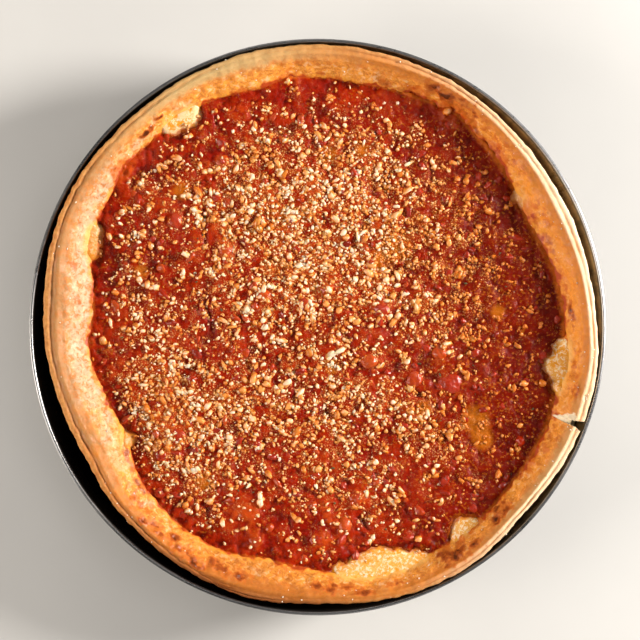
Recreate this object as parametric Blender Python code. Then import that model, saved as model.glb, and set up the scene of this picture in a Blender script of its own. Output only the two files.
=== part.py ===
"""A deep dish pizza in its own round steel pan.

Metres, +Z up. The origin is the middle of the pan's underside, where the part rests. The food is turned
round the pan's axis: every layer is one closed body, made from a profile that changes with the angle, so
that the crust keeps its uneven rim, its two ridges, its groove and its long inner slope. Angles are in
degrees, anticlockwise from +X.
"""

import math

import bmesh
import bpy
from mathutils import Matrix, Vector, noise

MM = 0.001
GAP = 0.35 * MM  # left between pieces that touch

# Pan: pressed sheet steel with a rolled rim
PAN_SIDES = 64
PAN_HEIGHT = 50 * MM
PAN_RIM_RADIUS = 155 * MM
PAN_SHEET = 1.2 * MM
PAN_BEAD = 1.0 * MM  # radius of the rolled rim
PAN_CORNER = 6 * MM  # inside, between base and wall
PAN_TAPER = 6 * MM  # the wall comes in by this much from rim to base

# Crust: floor, wall, outer lip, groove, inner ridge and slope
FOOD_SIDES = 80
CRUST_BASE = PAN_SHEET + GAP
CRUST_FLOOR = 7.5 * MM  # height of the floor's top
CRUST_CORNER = 9 * MM
CREST_HEIGHT = 51.6 * MM
CREST_WAVES = ((3, 0.35 * MM, 20), (7, 0.30 * MM, 80), (13, 0.20 * MM, 140))  # turns, height, phase
GROOVE_DEPTH = 1.9 * MM
GROOVE_FADES = ((98, 38), (276, 42))  # where the two ridges merge: angle, half width
FOOT_HEIGHT = 38.0 * MM  # where the slope ends at the filling
WALL_LEAN = 4.5 * MM  # the hidden inner wall comes in by this much towards the floor
FLOOR_CORNER = 4.0 * MM

# The crust's outer edge at the crest, and the foot of its slope: angle, radius in millimetres
CRUST_EDGE = (
    (0, 150.4), (12, 149.2), (40, 148.8), (67, 151.3), (90, 152.2), (110, 152.3), (134, 150.9),
    (150, 151.8), (180, 147.7), (208, 143.5), (220, 145.7), (240, 148.3), (256, 150.5), (270, 148.9),
    (290, 152.1), (304, 152.3), (317, 149.8), (338, 152.2), (352, 152.2),
)
SLOPE_FOOT = (
    (0, 134.6), (12, 132.6), (25, 128.2), (36, 131.2), (58, 135.2), (75, 134.2), (97, 135.4),
    (105, 133.2), (113, 135.6), (135, 134.8), (150, 133.0), (158, 132.0), (169, 124.2), (176, 121.6),
    (186, 124.9), (198, 120.9), (209, 119.6), (219, 126.2), (230, 129.6), (245, 132.2), (257, 128.6),
    (268, 131.4), (285, 138.2), (300, 137.0), (320, 135.6), (338, 135.4), (345, 134.0), (352, 135.2),
)

# Melted cheese: a thick layer under the sauce, which rises at the wall and shows in patches
CHEESE_TOP = 29.6 * MM
CHEESE_LEDGE = 37.3 * MM  # height where it shows round the sauce
LEDGE_WIDTH = 0.7 * MM
CHEESE_PATCHES = (  # angle, half width, depth in millimetres
    (32, 9, 2.2), (123, 7, 7.0), (159, 6, 5.0), (210, 6, 2.5), (285, 15, 11.5), (306, 6, 8.0), (351, 8, 9.5),
)

# Tomato sauce with an uneven top
SAUCE_HEIGHT = 38.6 * MM
SAUCE_EDGE_DROP = 0.7 * MM
SAUCE_RINGS = (0.93, 0.80, 0.65, 0.48, 0.28)  # shares of the sauce's radius
SWELLS = ((48 * MM, 1.0 * MM), (22 * MM, 0.5 * MM))  # length and height of the waves in the sauce

# A split in the rim, open to the pan at the edge: distance in from the edge, half width, lowest point
SPLIT_ANGLE = 339.4
SPLIT_SECTIONS = ((-4, 3.5, 24), (7, 0.8, 37), (16, 0.1, 48.5))  # millimetres

# Lumps of tomato, sunk to half their height: x, y, length, width in millimetres, turn in degrees
TOMATO_HEIGHT = 6.0
TOMATO_LUMPS = (
    (73.0, -31.0, 13.5, 11.0, 20), (66.5, -14.1, 10.0, 8.0, 70), (52.9, -28.2, 10.0, 9.0, 120),
    (34.5, 9.2, 9.0, 7.5, 10), (28.0, -18.5, 9.5, 8.0, 150), (5.2, 20.6, 9.0, 7.5, 40),
    (-6.8, 12.5, 8.5, 7.5, 95), (-29.6, 17.4, 9.0, 7.0, 160), (-49.7, 41.8, 10.0, 8.0, 60),
    (-77.4, -59.2, 10.5, 8.5, 35), (-85.0, -69.5, 9.0, 7.5, 140), (-39.4, -102.1, 9.5, 8.0, 15),
    (-32.9, -116.0, 9.5, 8.0, 80), (0.3, -116.5, 10.0, 8.0, 5), (14.4, -107.6, 9.5, 8.0, 55),
    (21.5, -93.4, 10.0, 8.5, 110), (-77.9, 58.1, 9.0, 7.5, 130), (-51.9, 90.1, 9.0, 7.5, 25),
)


def clear_scene():
    for thing in list(bpy.data.objects):
        bpy.data.objects.remove(thing, do_unlink=True)


def material(name, colour, roughness, metallic=0.0):
    made = bpy.data.materials.new(name)
    made.use_nodes = True
    shader = made.node_tree.nodes["Principled BSDF"]
    shader.inputs["Base Color"].default_value = (*colour, 1.0)
    shader.inputs["Roughness"].default_value = roughness
    shader.inputs["Metallic"].default_value = metallic
    return made


def add_object(name, mesh, paint=None):
    made = bpy.data.objects.new(name, mesh)
    bpy.context.scene.collection.objects.link(made)
    if paint:
        mesh.materials.append(paint)
    return made


def closed_curve(points, angle):
    """The radius in metres at an angle, on a smooth closed curve through (angle, millimetres) points."""
    count = len(points)
    after = next((i for i in range(count) if points[i][0] > angle % 360), count)
    near = []
    for i in range(after - 2, after + 2):
        turns, place = divmod(i, count)
        near.append((points[place][0] + 360 * turns, points[place][1]))
    (a0, r0), (a1, r1), (a2, r2), (a3, r3) = near
    span = a2 - a1
    t = (angle % 360 - a1) / span
    slope_in = (r2 - r0) / (a2 - a0) * span
    slope_out = (r3 - r1) / (a3 - a1) * span
    curve = (
        (2 * t**3 - 3 * t**2 + 1) * r1
        + (t**3 - 2 * t**2 + t) * slope_in
        + (3 * t**2 - 2 * t**3) * r2
        + (t**3 - t**2) * slope_out
    )
    return curve * MM


def window(angle, middle, half_width):
    """1 at the middle of an arc, falling smoothly to 0 at its ends."""
    away = abs((angle - middle + 180) % 360 - 180) / half_width
    return 0.5 + 0.5 * math.cos(math.pi * away) if away < 1 else 0.0


def arc(radius, height, bend, start, end, steps):
    """Points on a round corner of the profile, from one angle to another."""
    turns = [math.radians(start + (end - start) * i / steps) for i in range(steps + 1)]
    return [(radius + bend * math.cos(t), height + bend * math.sin(t)) for t in turns]


def turned_body(name, sides, profile, paint):
    """A closed body round the Z axis. profile(angle) runs from the bottom centre out, up and back to the top
    centre, and its first and last points lie on the axis."""
    shape = bmesh.new()
    columns = []
    for side in range(sides):
        angle = 360 * side / sides
        across, along = math.cos(math.radians(angle)), math.sin(math.radians(angle))
        points = profile(angle)
        if side == 0:
            bottom = shape.verts.new((0, 0, points[0][1]))
            top = shape.verts.new((0, 0, points[-1][1]))
        columns.append([shape.verts.new((r * across, r * along, z)) for r, z in points[1:-1]])
    for side in range(sides):
        here, there = columns[side], columns[(side + 1) % sides]
        shape.faces.new((bottom, there[0], here[0]))
        for i in range(len(here) - 1):
            shape.faces.new((here[i], there[i], there[i + 1], here[i + 1]))
        shape.faces.new((here[-1], there[-1], top))
    mesh = bpy.data.meshes.new(name)
    shape.to_mesh(mesh)
    shape.free()
    mesh.shade_smooth()
    mesh.set_sharp_from_angle(angle=math.radians(50))
    return add_object(name, mesh, paint)


def cut(target, cutter):
    cutter.hide_render = True
    cutter.display_type = "WIRE"
    boolean = target.modifiers.new(cutter.name, "BOOLEAN")
    boolean.operation = "DIFFERENCE"
    boolean.solver = "EXACT"
    boolean.object = cutter


# ---- pan


def pan_profile(_angle):
    bead_middle = PAN_RIM_RADIUS - PAN_BEAD
    wall_top = PAN_HEIGHT - 2 * PAN_BEAD
    inside_top = PAN_RIM_RADIUS - 2 * PAN_BEAD
    corner_radius = inside_top - PAN_TAPER - PAN_CORNER
    corner_height = PAN_SHEET + PAN_CORNER
    lean = math.degrees(math.atan2(PAN_TAPER, wall_top - corner_height))
    outside = arc(corner_radius, corner_height, PAN_CORNER + PAN_SHEET, -90, -lean, 3)
    bead = arc(bead_middle, PAN_HEIGHT - PAN_BEAD, PAN_BEAD, -90, 180, 6)
    inside = arc(corner_radius, corner_height, PAN_CORNER, -lean, -90, 3)
    return [(0, 0), *outside, *bead, *inside, (0, PAN_SHEET)]


def make_pan():
    steel = material("pan_black_steel", (0.020, 0.019, 0.018), 0.32, 0.85)
    return turned_body("pan", PAN_SIDES, pan_profile, steel)


# ---- crust


def crest_height(angle):
    waves = sum(size * math.sin(math.radians(turns * angle + phase)) for turns, size, phase in CREST_WAVES)
    return CREST_HEIGHT + waves


def groove_depth(angle):
    merged = max(window(angle, middle, half) for middle, half in GROOVE_FADES)
    return GROOVE_DEPTH * (1 - 0.75 * merged)


def crust_top(angle):
    """Lip, groove, ridge and slope, from the outer edge in to the foot of the slope."""
    edge, foot = closed_curve(CRUST_EDGE, angle), closed_curve(SLOPE_FOOT, angle)
    crest, groove = crest_height(angle), groove_depth(angle)
    fall = crest - FOOT_HEIGHT
    shares = (
        (0.000, -0.14 * fall),
        (0.035, -0.02 * fall),
        (0.105, 0.0),
        (0.165, -groove),
        (0.225, 0.0),
        (0.310, -0.01 * fall),
        (0.370, -0.13 * fall),
        (0.560, -0.40 * fall),
        (0.790, -0.76 * fall),
        (1.000, -fall),
    )
    return [(edge + (foot - edge) * share, crest + drop) for share, drop in shares]


def crust_profile(angle):
    top = crust_top(angle)
    edge, foot = top[0][0], top[-1][0]
    base_edge = edge - PAN_TAPER
    corner = arc(base_edge - CRUST_CORNER, CRUST_BASE + CRUST_CORNER, CRUST_CORNER, -90, -8, 2)
    inner_wall = [
        (foot, CHEESE_TOP),
        (foot - WALL_LEAN, CRUST_FLOOR + FLOOR_CORNER),
        (foot - WALL_LEAN - FLOOR_CORNER, CRUST_FLOOR),
    ]
    return [(0, CRUST_BASE), *corner, *top, *inner_wall, (0, CRUST_FLOOR)]


def split_cutter():
    """A wedge, standing open over the rim, that narrows and rises towards the middle."""
    edge = closed_curve(CRUST_EDGE, SPLIT_ANGLE)
    above = CREST_HEIGHT + 10 * MM
    shape = bmesh.new()
    rings = []
    for inward, half_width, lowest in SPLIT_SECTIONS:
        radius, half, low = edge - inward * MM, half_width * MM, lowest * MM
        corners = ((radius, -half, low), (radius, half, low), (radius, half, above), (radius, -half, above))
        rings.append([shape.verts.new(corner) for corner in corners])
    for outer, inner in zip(rings, rings[1:]):
        for i in range(4):
            j = (i + 1) % 4
            shape.faces.new((outer[i], inner[i], inner[j], outer[j]))
    shape.faces.new(rings[0])
    shape.faces.new(reversed(rings[-1]))
    bmesh.ops.recalc_face_normals(shape, faces=shape.faces)
    shape.transform(Matrix.Rotation(math.radians(SPLIT_ANGLE), 4, "Z"))
    mesh = bpy.data.meshes.new("split_cutter")
    shape.to_mesh(mesh)
    shape.free()
    return add_object("split_cutter", mesh)


def make_crust():
    baked_dough = material("baked_dough", (0.80, 0.47, 0.19), 0.62)
    crust = turned_body("crust", FOOD_SIDES, crust_profile, baked_dough)
    cut(crust, split_cutter())
    return crust


# ---- cheese and sauce


def sauce_edge(angle):
    """The sauce's outer radius: it stops short of the crust where melted cheese shows."""
    patches = sum(depth * window(angle, middle, half) for middle, half, depth in CHEESE_PATCHES)
    return closed_curve(SLOPE_FOOT, angle) - 2 * GAP - LEDGE_WIDTH - patches * MM


def cheese_profile(angle):
    side = closed_curve(SLOPE_FOOT, angle) - GAP
    shelf = sauce_edge(angle) + GAP
    floor = CRUST_FLOOR + GAP
    return [
        (0, floor),
        (side - WALL_LEAN - FLOOR_CORNER, floor),
        (side - WALL_LEAN, floor + FLOOR_CORNER),
        (side, CHEESE_TOP),
        (side, CHEESE_LEDGE),
        (shelf, CHEESE_LEDGE),
        (shelf, CHEESE_TOP),
        (0, CHEESE_TOP),
    ]


def make_cheese():
    melted_cheese = material("melted_cheese", (0.86, 0.66, 0.30), 0.40)
    return turned_body("cheese", FOOD_SIDES, cheese_profile, melted_cheese)


def sauce_height(x, y):
    """The height of the sauce's uneven top over a point."""
    swell = sum(size * noise.noise(Vector((x, y, size)) / length) for length, size in SWELLS)
    return SAUCE_HEIGHT + swell


def sauce_profile(angle):
    edge = sauce_edge(angle)
    across, along = math.cos(math.radians(angle)), math.sin(math.radians(angle))
    bottom = CHEESE_TOP + GAP
    points = [(0, bottom), (edge, bottom)]
    points.append((edge, sauce_height(edge * across, edge * along) - SAUCE_EDGE_DROP))
    for share in SAUCE_RINGS:
        radius = share * edge
        points.append((radius, sauce_height(radius * across, radius * along)))
    points.append((0, sauce_height(0, 0)))
    return points


def lump_shape(number, grow=0.0):
    """An irregular rounded lump, sunk to its middle in the sauce. grow moves its surface out."""
    x, y, length, width, turn = TOMATO_LUMPS[number]
    shape = bmesh.new()
    bmesh.ops.create_icosphere(shape, subdivisions=2, radius=1.0)
    half_sizes = Vector((length * MM / 2, width * MM / 2, TOMATO_HEIGHT * MM / 2))
    for point in shape.verts:
        dent = 1 + 0.35 * noise.noise(point.co * 1.4 + Vector((7.0 * number, 0, 0)))
        point.co = Vector((point.co[i] * (half_sizes[i] * dent + grow) for i in range(3)))
    shape.transform(Matrix.Rotation(math.radians(turn), 4, "Z"))
    place = Vector((x * MM, y * MM, 0))
    place.z = sauce_height(place.x, place.y)
    shape.transform(Matrix.Translation(place))
    return shape


def make_sauce():
    cooked_sauce = material("tomato_sauce", (0.30, 0.012, 0.006), 0.25)
    sauce = turned_body("sauce", FOOD_SIDES, sauce_profile, cooked_sauce)
    pits = bpy.data.meshes.new("lump_pits")
    joined = bmesh.new()
    for number in range(len(TOMATO_LUMPS)):
        one = lump_shape(number, grow=GAP)
        one.to_mesh(pits)
        one.free()
        joined.from_mesh(pits)
    joined.to_mesh(pits)
    joined.free()
    cut(sauce, add_object("lump_pits", pits))
    return sauce


def make_tomato_lumps():
    cooked_tomato = material("cooked_tomato", (0.45, 0.030, 0.012), 0.22)
    for number in range(len(TOMATO_LUMPS)):
        name = f"tomato_chunk_{number + 1:02d}"
        mesh = bpy.data.meshes.new(name)
        shape = lump_shape(number)
        shape.to_mesh(mesh)
        shape.free()
        mesh.shade_smooth()
        add_object(name, mesh, cooked_tomato)


def main():
    clear_scene()
    make_pan()
    make_crust()
    make_cheese()
    make_sauce()
    make_tomato_lumps()


main()
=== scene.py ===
import itertools
import math

import bmesh
import bpy
import numpy as np
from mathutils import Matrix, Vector, noise
from mathutils.bvhtree import BVHTree


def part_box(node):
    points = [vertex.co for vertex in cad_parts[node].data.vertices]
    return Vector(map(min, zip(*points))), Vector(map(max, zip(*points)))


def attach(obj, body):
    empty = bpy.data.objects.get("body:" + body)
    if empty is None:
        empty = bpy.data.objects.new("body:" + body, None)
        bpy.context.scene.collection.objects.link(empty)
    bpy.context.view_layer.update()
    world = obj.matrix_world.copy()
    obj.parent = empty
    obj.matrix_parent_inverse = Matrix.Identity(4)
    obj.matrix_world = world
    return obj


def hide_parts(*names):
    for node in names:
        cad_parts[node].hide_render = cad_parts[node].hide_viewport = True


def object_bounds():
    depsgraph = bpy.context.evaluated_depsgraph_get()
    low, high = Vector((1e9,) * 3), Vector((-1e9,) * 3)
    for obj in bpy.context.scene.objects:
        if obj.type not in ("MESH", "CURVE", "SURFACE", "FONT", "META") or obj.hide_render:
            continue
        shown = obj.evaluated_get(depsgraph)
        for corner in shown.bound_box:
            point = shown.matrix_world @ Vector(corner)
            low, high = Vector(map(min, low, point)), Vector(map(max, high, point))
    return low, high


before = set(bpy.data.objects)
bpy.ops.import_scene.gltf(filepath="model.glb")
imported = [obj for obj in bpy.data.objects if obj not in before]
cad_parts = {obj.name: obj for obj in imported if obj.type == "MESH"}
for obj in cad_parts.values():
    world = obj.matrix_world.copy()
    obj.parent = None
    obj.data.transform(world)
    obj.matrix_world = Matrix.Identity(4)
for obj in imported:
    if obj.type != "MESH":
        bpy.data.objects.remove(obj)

# The looks of a deep dish pizza in its pan. Metres, +Z up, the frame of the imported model. Angles are in
# degrees, anticlockwise from +X. The outlines of crust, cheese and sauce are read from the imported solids,
# and the fine surfaces are worked out over them.

cad_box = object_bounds()

MM = 0.001

# Heights that the solids share
SAUCE_HEIGHT = 38.6 * MM
SWELLS = ((48 * MM, 1.0 * MM), (22 * MM, 0.5 * MM))  # the broad waves in the sauce: length, height
FOOT_HEIGHT = 38.0 * MM

# Fineness of the surfaces
PAN_SIDES = 256
CRUST_COLUMNS = 1080
SPLIT_COLUMNS = 60
CHEESE_COLUMNS = 720
SAUCE_STEP = 0.80 * MM

# Pan
BEAD = 1.0 * MM  # the radius of the rolled rim
SHEET = 1.2 * MM
CORNER = 6.0 * MM
TAPER = 6.0 * MM  # how much narrower the wall is at its bottom
WALL_RADIUS, WALL_TOP, WALL_HEIGHT = 152.7 * MM, 48.0 * MM, 41.0 * MM  # the crust stays within this wall
REFLECTION_SIDE = (25, 80)  # where a painted reflection of the lit crust lies on the upper inner wall: angle, half width

# Crust
BASE_INSET = 6.3 * MM  # how much narrower the crust is at its foot
RIM_RADIUS = 150 * MM  # about where the rim runs
SPLIT_ANGLE = 339.4
SPLIT_REACH = np.array([-4.0, 3.5, 6.5, 10.0, 13.0, 16.0]) * MM  # distance in from the edge
SPLIT_HALF_WIDTH = np.array([3.9, 2.0, 1.6, 1.2, 0.8, 0.2]) * MM
SPLIT_BOTTOM = np.array([24.0, 34.0, 46.6, 44.9, 41.8, 39.0]) * MM
GROOVE_FADES = ((98, 38), (276, 42))  # where the two ridges merge: angle, half width
RIGHT_SIDE = (12, 80)  # where the groove is shallow; also where light is painted: the crust's rim and the pan's rim are painted pale as a highlight, and the slope and groove get painted warm shade: angle, half width
FLAKY_GAPS = (  # gaps between outer layers: angle, half width, share of the way in, half width as a share
    (255, 9, 0.085, 0.014), (249, 6, 0.140, 0.012), (243, 5, 0.050, 0.010),
)
BROWN_SPOTS = (  # angle, share of the way in, half width in degrees, half width as a share, strength
    (131, 0.68, 2.0, 0.07, 1.60), (127, 0.60, 1.6, 0.05, 1.3), (58, 0.62, 7.5, 0.34, 1.00),
    (62, 0.50, 4.0, 0.22, 1.15), (53, 0.88, 4.5, 0.16, 0.9), (301, 0.62, 4.8, 0.32, 0.92),
    (299, 0.42, 1.6, 0.10, 1.25), (303, 0.74, 1.8, 0.10, 1.2), (315, 0.72, 3.6, 0.26, 0.95),
    (313, 0.60, 1.6, 0.12, 1.15), (308, 0.90, 5.0, 0.12, 0.6), (275, 0.50, 6.5, 0.24, 0.68),
    (232, 0.50, 4.0, 0.22, 0.72), (240, 0.42, 5.0, 0.22, 0.78), (224, 0.60, 5.0, 0.20, 0.6),
    (248, 0.52, 5.0, 0.22, 0.66), (3, 0.76, 3.0, 0.10, 0.9), (346, 0.50, 2.0, 0.12, 0.75),
    (215, 0.90, 4.5, 0.12, 0.8), (222, 0.88, 3.0, 0.10, 0.7), (20, 0.80, 5.0, 0.12, 0.5),
    (75, 0.85, 6.0, 0.14, 0.5), (262, 0.78, 3.0, 0.12, 0.6), (88, 0.86, 4.0, 0.10, 0.45),
    (106, 0.92, 3.0, 0.10, 0.5), (172, 0.94, 4.0, 0.08, 0.45), (166, 0.60, 2.5, 0.14, 0.5),
    (174, 0.66, 2.0, 0.10, 0.5), (42, 0.56, 8.0, 0.22, 0.48), (26, 0.62, 6.0, 0.20, 0.34),
    (352, 0.66, 7.0, 0.22, 0.36), (334, 0.72, 5.0, 0.24, 0.40), (228, 0.36, 2.0, 0.12, 0.85),
    (236, 0.62, 2.2, 0.13, 0.88), (243, 0.35, 2.6, 0.14, 0.98), (246, 0.64, 2.0, 0.12, 0.85),
    (253, 0.46, 2.6, 0.13, 0.84), (270, 0.56, 2.0, 0.12, 0.82), (280, 0.40, 2.6, 0.13, 0.84),
    (287, 0.52, 2.0, 0.12, 0.76), (298, 0.80, 1.6, 0.10, 0.90), (306, 0.50, 2.0, 0.12, 0.90),
)
SAUCE_SMEARS = (  # angle, half width, climb in millimetres
    (141, 6.5, 2.2), (57, 8.5, 2.6), (97, 5.0, 0.8), (12, 6.0, 0.7), (306, 7.0, 0.9), (182, 5.0, 0.6),
    (44, 7.0, 1.5), (67, 6.0, 1.5), (29, 5.0, 0.9), (327, 6.0, 0.8),
)

# Cheese
LEDGE_STEPS = 34
LEDGE_HEIGHT = 35.2 * MM  # its top, where the sauce covers it
CORE_RADIUS = 30 * MM  # the flat caps that close it reach in from here
OILY_PATCHES = ((163, 22), (210, 14), (31, 13))  # angle, half width
CREAM_PATCH = (122, 18)

# Sauce
SAUCE_BASE = 31 * MM
SAUCE_REACH = 142 * MM  # past its outline on every side
DEEP_SMEARS = ((141, 8), (58, 9))  # where it runs further up the crust: angle, half width
DARK_SIDE = math.radians(4)  # painted shadow of the crust: the sauce is painted darkest on this side
CREASES = (  # the ends of each crease and its depth, in millimetres
    (-62.5, 66.0, -61.0, 43.0, 1.6), (-62.0, 18.0, -57.0, -3.0, 1.4), (22.0, -102.0, 28.0, -111.0, 1.2),
    (52.0, -34.0, 58.0, -39.0, 1.3), (4.0, -40.0, 6.0, -52.0, 1.0), (-28.0, -8.0, -12.0, -12.0, 1.0),
    (62.0, 52.0, 48.0, 36.0, 0.9), (-12.0, -86.0, 0.0, -92.0, 1.0),
)
OIL_POOLS = (  # x, y, radius in millimetres
    (86, -50, 9), (90, -62, 6), (44, 44, 9), (32, 36, 6), (8, -22, 5), (6, 94, 6), (-18, 62, 4),
    (-74, 74, 6), (-62, -84, 6), (58, -44, 5), (98, 8, 5), (24, 96, 5), (-96, 30, 5),
)

# Scattered things
THICK_CHEESE = (  # where grated cheese lies thick: x, y, radius in millimetres, and how thick
    (-20, 52, 34, 1.0), (10, 74, 30, 0.9), (48, 62, 30, 0.7), (-46, 70, 26, 0.55), (-88, 74, 22, 0.45),
    (38, 22, 26, 0.55), (4, 18, 26, 0.60), (-42, 14, 26, 0.50), (-92, 6, 22, 0.45), (-100, 40, 18, 0.3),
    (-86, -34, 24, 0.95), (-66, -58, 26, 1.0), (-98, -64, 16, 0.9), (-40, -40, 24, 0.6),
    (4, -34, 24, 0.65), (36, -46, 26, 0.60), (-8, -74, 26, 0.40), (66, -60, 20, 0.35), (-70, -92, 18, 0.55),
    (80, 36, 18, 0.45), (70, 4, 20, 0.45), (-30, 104, 22, 0.35), (30, 108, 20, 0.25), (24, -92, 22, 0.35),
)
GRATED_CHEESE = (  # name, grains, smallest and largest, fineness of a grain, how deep it sinks in, seed
    ("grated_cheese", 850, 2.0 * MM, 4.2 * MM, 2, 0.42, 1),
    ("small_grated_cheese", 2150, 1.6 * MM, 2.7 * MM, 2, 0.38, 2),
    ("fine_grated_cheese", 6900, 0.9 * MM, 1.9 * MM, 1, 0.36, 3),
)
PULP_COUNT = 240
HERB_COUNT = 110
FLOUR_COUNT = 90
GRAIN_KINDS = 20  # different shapes of grain in each joined mesh
GRAIN_CUTS = 7  # flat faces that a grain breaks along

# Light: name, angle round, angle up, distance, width, power, colour
LAMPS = (
    ("key", 12, 23, 1.5, 0.42, 49, (1.0, 0.94, 0.86)),
    ("soft_left", 192, 20, 1.5, 1.0, 26, (1.0, 0.91, 0.80)),
    ("soft_above", 30, 70, 1.5, 0.7, 2, (1.0, 0.96, 0.92)),
    ("soft_front", 280, 30, 1.6, 0.9, 3, (1.0, 0.95, 0.88)),
    ("soft_back", 98, 30, 1.6, 0.9, 3, (1.0, 0.95, 0.88)),
)
LIT_PLACE = (0, 0, 40 * MM)
WORLD_LIGHT = 0.08
FLOOR_REACH = 3.0

# Camera
VIEW_DISTANCE = 0.90  # above the pan's rim
VIEW_WIDTH = 343.7 * MM  # what the picture takes in at the rim


# ---- small tools


def smoothstep(low, high, value):
    """0 at low and 1 at high, with a smooth way between them."""
    t = np.clip((value - low) / (high - low), 0, 1)
    return t * t * (3 - 2 * t)


SHUFFLE = np.random.default_rng(11).permutation(256)
DIRECTIONS = np.random.default_rng(12).normal(size=(256, 3))
DIRECTIONS /= np.linalg.norm(DIRECTIONS, axis=1, keepdims=True)
CHANCES = np.random.default_rng(13).random((3, 256))


def lattice(x, y, z):
    """A shuffled number from 0 to 255 for each cell of a lattice."""
    return SHUFFLE[(SHUFFLE[(SHUFFLE[x & 255] + y) & 255] + z) & 255]


def smooth_noise(points, length, seed=0):
    """Smooth noise from about -1 to 1 at points (..., 3), with features as long as length."""
    at = points.reshape(-1, 3) / length + seed * 31.7
    cell = np.floor(at).astype(int)
    part = at - cell
    fade = part**3 * (part * (part * 6 - 15) + 10)
    total = np.zeros(len(at))
    for corner in itertools.product((0, 1), repeat=3):
        slope = DIRECTIONS[lattice(*(cell + corner).T)]
        weight = np.prod(np.where(corner, fade, 1 - fade), axis=1)
        total += weight * np.einsum("ij,ij->i", slope, part - corner)
    return (total * 1.6).reshape(points.shape[:-1])


def rough_noise(points, length, octaves, seed=0):
    """Smooth noise with finer noise added, each layer half as long and half as strong."""
    return sum(smooth_noise(points, length / 2**i, seed + i) / 2**i for i in range(octaves))


def pebbles(x, y, size, seed=0):
    """Rounded lumps lying close together: 1 on top of each and 0 in the creases between them."""
    at_x, at_y = x / size + seed * 17.3, y / size + seed * 9.1
    cell_x, cell_y = np.floor(at_x).astype(int), np.floor(at_y).astype(int)
    best = np.zeros_like(x)
    for step_x, step_y in itertools.product((-1, 0, 1), repeat=2):
        here_x, here_y = cell_x + step_x, cell_y + step_y
        chance = CHANCES[:, lattice(here_x, here_y, here_x * 0 + seed)]
        away_x, away_y = here_x + chance[0] - at_x, here_y + chance[1] - at_y
        reach = 0.45 + 0.55 * chance[2]
        best = np.maximum(best, (0.5 + 0.5 * chance[2]) * (1 - (away_x**2 + away_y**2) / reach**2))
    return best


def angle_from(middle, angle):
    """How far an angle is from a middle, from -180 to 180 degrees."""
    return (angle - middle + 180) % 360 - 180


def arc_window(angle, middle, half_width):
    """1 at the middle of an arc, falling smoothly to 0 at its ends."""
    away = np.abs(angle_from(middle, angle)) / half_width
    return np.where(away < 1, 0.5 + 0.5 * np.cos(np.pi * np.clip(away, 0, 1)), 0.0)


def in_three(x, y, z=0.0):
    return np.stack([x, y, np.broadcast_to(z, np.shape(x))], axis=-1)


def polar(x, y):
    """The angle and the radius of a place."""
    return np.degrees(np.arctan2(y, x)) % 360, np.hypot(x, y)


def turned(radius, angles):
    """x and y from radius (columns x rows) and the angle of each column."""
    turn = np.radians(angles)[:, None]
    return radius * np.cos(turn), radius * np.sin(turn)


def curve_through(stations, amount):
    """Points on a smooth curve through stations (..., count, 2), amount of them for each station number."""
    count = stations.shape[-2]
    first = np.clip(np.floor(amount).astype(int), 0, count - 2)
    t = (amount - first)[:, None]
    before, after = np.clip(first - 1, 0, count - 1), np.clip(first + 2, 0, count - 1)
    p0, p1, p2, p3 = (stations[..., i, :] for i in (before, first, first + 1, after))
    return (
        (2 * t**3 - 3 * t**2 + 1) * p1
        + (t**3 - 2 * t**2 + t) * (p2 - p0) / 2
        + (3 * t**2 - 2 * t**3) * p2
        + (t**3 - t**2) * (p3 - p1) / 2
    )


def mesh_object(name, points, faces, paint, numbers):
    """An object from arrays of points and faces. numbers are named values, one for each point."""
    mesh = bpy.data.meshes.new(name)
    mesh.vertices.add(len(points))
    mesh.vertices.foreach_set("co", np.asarray(points, np.float32).ravel())
    sides = faces.shape[1]
    mesh.loops.add(faces.size)
    mesh.loops.foreach_set("vertex_index", faces.ravel().astype(np.int32))
    mesh.polygons.add(len(faces))
    mesh.polygons.foreach_set("loop_start", np.arange(0, faces.size, sides, dtype=np.int32))
    mesh.update(calc_edges=True)
    for title, values in numbers.items():
        layer = mesh.attributes.new(title, "FLOAT", "POINT")
        layer.data.foreach_set("value", np.asarray(values, np.float32).ravel())
    mesh.materials.append(paint)
    mesh.shade_smooth()
    made = bpy.data.objects.new(name, mesh)
    bpy.context.scene.collection.objects.link(made)
    return made


def finish_piece(piece, slot, *nodes):
    if nodes:
        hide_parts(*nodes)
    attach(piece, "root")


def turned_object(name, radius, height, angles, paint, numbers):
    """A closed body from radius and height (columns x rows), with a small cap at each end. numbers are named
    values that can be spread over columns x rows."""
    columns, rows = radius.shape
    points = in_three(*turned(radius, angles), height).reshape(-1, 3)
    bottom, top = len(points), len(points) + 1
    poles = [[0, 0, height[:, 0].mean()], [0, 0, height[:, -1].mean()]]
    start = np.arange(columns) * rows
    next_start = np.roll(start, -1)
    row = np.arange(rows - 1)
    here, beside = start[:, None] + row, next_start[:, None] + row
    quads = np.stack([here, beside, beside + 1, here + 1], axis=-1).reshape(-1, 4)
    spread = {
        title: np.append(np.broadcast_to(values, radius.shape).ravel(), [0, 0])
        for title, values in numbers.items()
    }
    made = mesh_object(name, np.vstack([points, poles]), quads, paint, spread)
    low_cap = np.stack([np.full(columns, bottom), next_start, start], axis=-1)
    high_cap = np.stack([start + rows - 1, next_start + rows - 1, np.full(columns, top)], axis=-1)
    shape = bmesh.new()
    shape.from_mesh(made.data)
    shape.verts.ensure_lookup_table()
    for corners in np.vstack([low_cap, high_cap]):
        shape.faces.new([shape.verts[corner] for corner in corners]).smooth = True
    shape.to_mesh(made.data)
    shape.free()
    return made


# ---- outlines, read from the solids


def mesh_points(mesh):
    points = np.empty(len(mesh.vertices) * 3)
    mesh.vertices.foreach_get("co", points)
    return points.reshape(-1, 3)


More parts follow.
